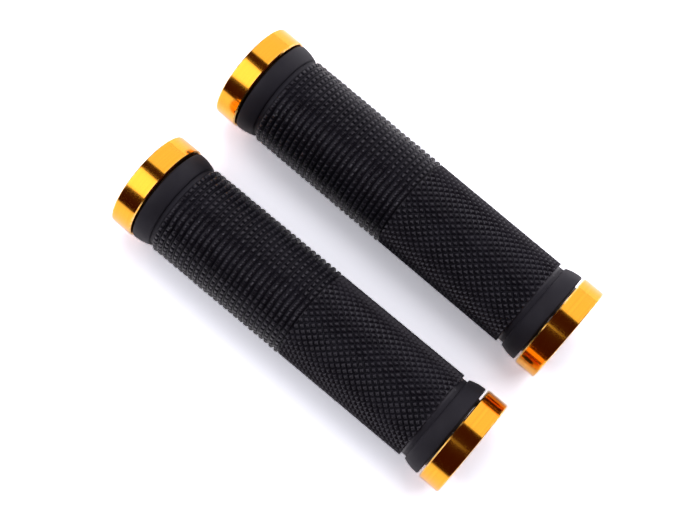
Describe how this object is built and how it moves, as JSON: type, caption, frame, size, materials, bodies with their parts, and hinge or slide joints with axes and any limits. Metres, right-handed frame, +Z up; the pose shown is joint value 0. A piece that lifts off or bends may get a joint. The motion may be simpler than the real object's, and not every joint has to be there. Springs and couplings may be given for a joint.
{
  "type": "bicycle lock-on handlebar grip pair",
  "caption": "Pair of lock-on bicycle handlebar grips: ribbed and diamond-cut rubber on a hard core sleeve, with a split clamp ring and pinch screw at each end and an end cap.",
  "frame": {"origin": "on the surface that the pair lies on, midway between the two grips", "axes": "+X along the grips towards their outboard ends, +Y from the left grip to the right grip, +Z up"},
  "size_m": [0.1306, 0.0814, 0.0334],
  "materials": {
    "grip_rubber": "matte moulded",
    "core_plastic": "satin",
    "gold_anodised": "polished, gold anodised",
    "black_steel": "black oxide",
    "cap_plastic": "fine moulded texture"
  },
  "bodies": {
    "left_grip": {"left_core_sleeve": "core_plastic", "left_rubber_grip": "grip_rubber"},
    "left_inner_ring": {"left_inner_lock_ring": "gold_anodised"},
    "left_inner_screw": {"left_inner_pinch_screw": "black_steel"},
    "left_outer_ring": {"left_outer_lock_ring": "gold_anodised"},
    "left_outer_screw": {"left_outer_pinch_screw": "black_steel"},
    "left_cap": {"left_end_cap": "cap_plastic"},
    "right_grip": {"right_core_sleeve": "core_plastic", "right_rubber_grip": "grip_rubber"},
    "right_inner_ring": {"right_inner_lock_ring": "gold_anodised"},
    "right_inner_screw": {"right_inner_pinch_screw": "black_steel"},
    "right_outer_ring": {"right_outer_lock_ring": "gold_anodised"},
    "right_outer_screw": {"right_outer_pinch_screw": "black_steel"},
    "right_cap": {"right_end_cap": "cap_plastic"}
  },
  "joints": [
    {"name": "left_inner_ring_slide", "type": "slide", "parent": "left_grip", "child": "left_inner_ring", "axis": [-1, -0.0077, 0], "range_m": [0, 0.012]},
    {"name": "left_inner_screw_turn", "type": "hinge", "parent": "left_inner_ring", "child": "left_inner_screw", "pos_m": [-0.06087, -0.01479, 0.00663], "axis": [-0.0057, 0.7373, 0.6756], "range_deg": [0, 570]},
    {"name": "left_outer_ring_slide", "type": "slide", "parent": "left_grip", "child": "left_outer_ring", "axis": [1, 0.0077, 0], "range_m": [0, 0.012]},
    {"name": "left_outer_screw_turn", "type": "hinge", "parent": "left_outer_ring", "child": "left_outer_screw", "pos_m": [0.06033, -0.01385, 0.00663], "axis": [-0.0057, 0.7373, 0.6756], "range_deg": [0, 570]},
    {"name": "left_cap_pull", "type": "slide", "parent": "left_outer_ring", "child": "left_cap", "axis": [1, 0.0077, 0], "range_m": [0, 0.015]},
    {"name": "right_inner_ring_slide", "type": "slide", "parent": "right_grip", "child": "right_inner_ring", "axis": [-1, 0.0077, 0], "range_m": [0, 0.012]},
    {"name": "right_inner_screw_turn", "type": "hinge", "parent": "right_inner_ring", "child": "right_inner_screw", "pos_m": [-0.06033, 0.03325, 0.00663], "axis": [0.0057, 0.7373, 0.6756], "range_deg": [0, 570]},
    {"name": "right_outer_ring_slide", "type": "slide", "parent": "right_grip", "child": "right_outer_ring", "axis": [1, -0.0077, 0], "range_m": [0, 0.012]},
    {"name": "right_outer_screw_turn", "type": "hinge", "parent": "right_outer_ring", "child": "right_outer_screw", "pos_m": [0.06087, 0.03231, 0.00663], "axis": [0.0057, 0.7373, 0.6756], "range_deg": [0, 570]},
    {"name": "right_cap_pull", "type": "slide", "parent": "right_outer_ring", "child": "right_cap", "axis": [1, -0.0077, 0], "range_m": [0, 0.015]},
    {"name": "right_grip_spread", "type": "slide", "parent": "left_grip", "child": "right_grip", "axis": [0, 1, 0], "range_m": [-0.01, 0.06]}
  ]
}
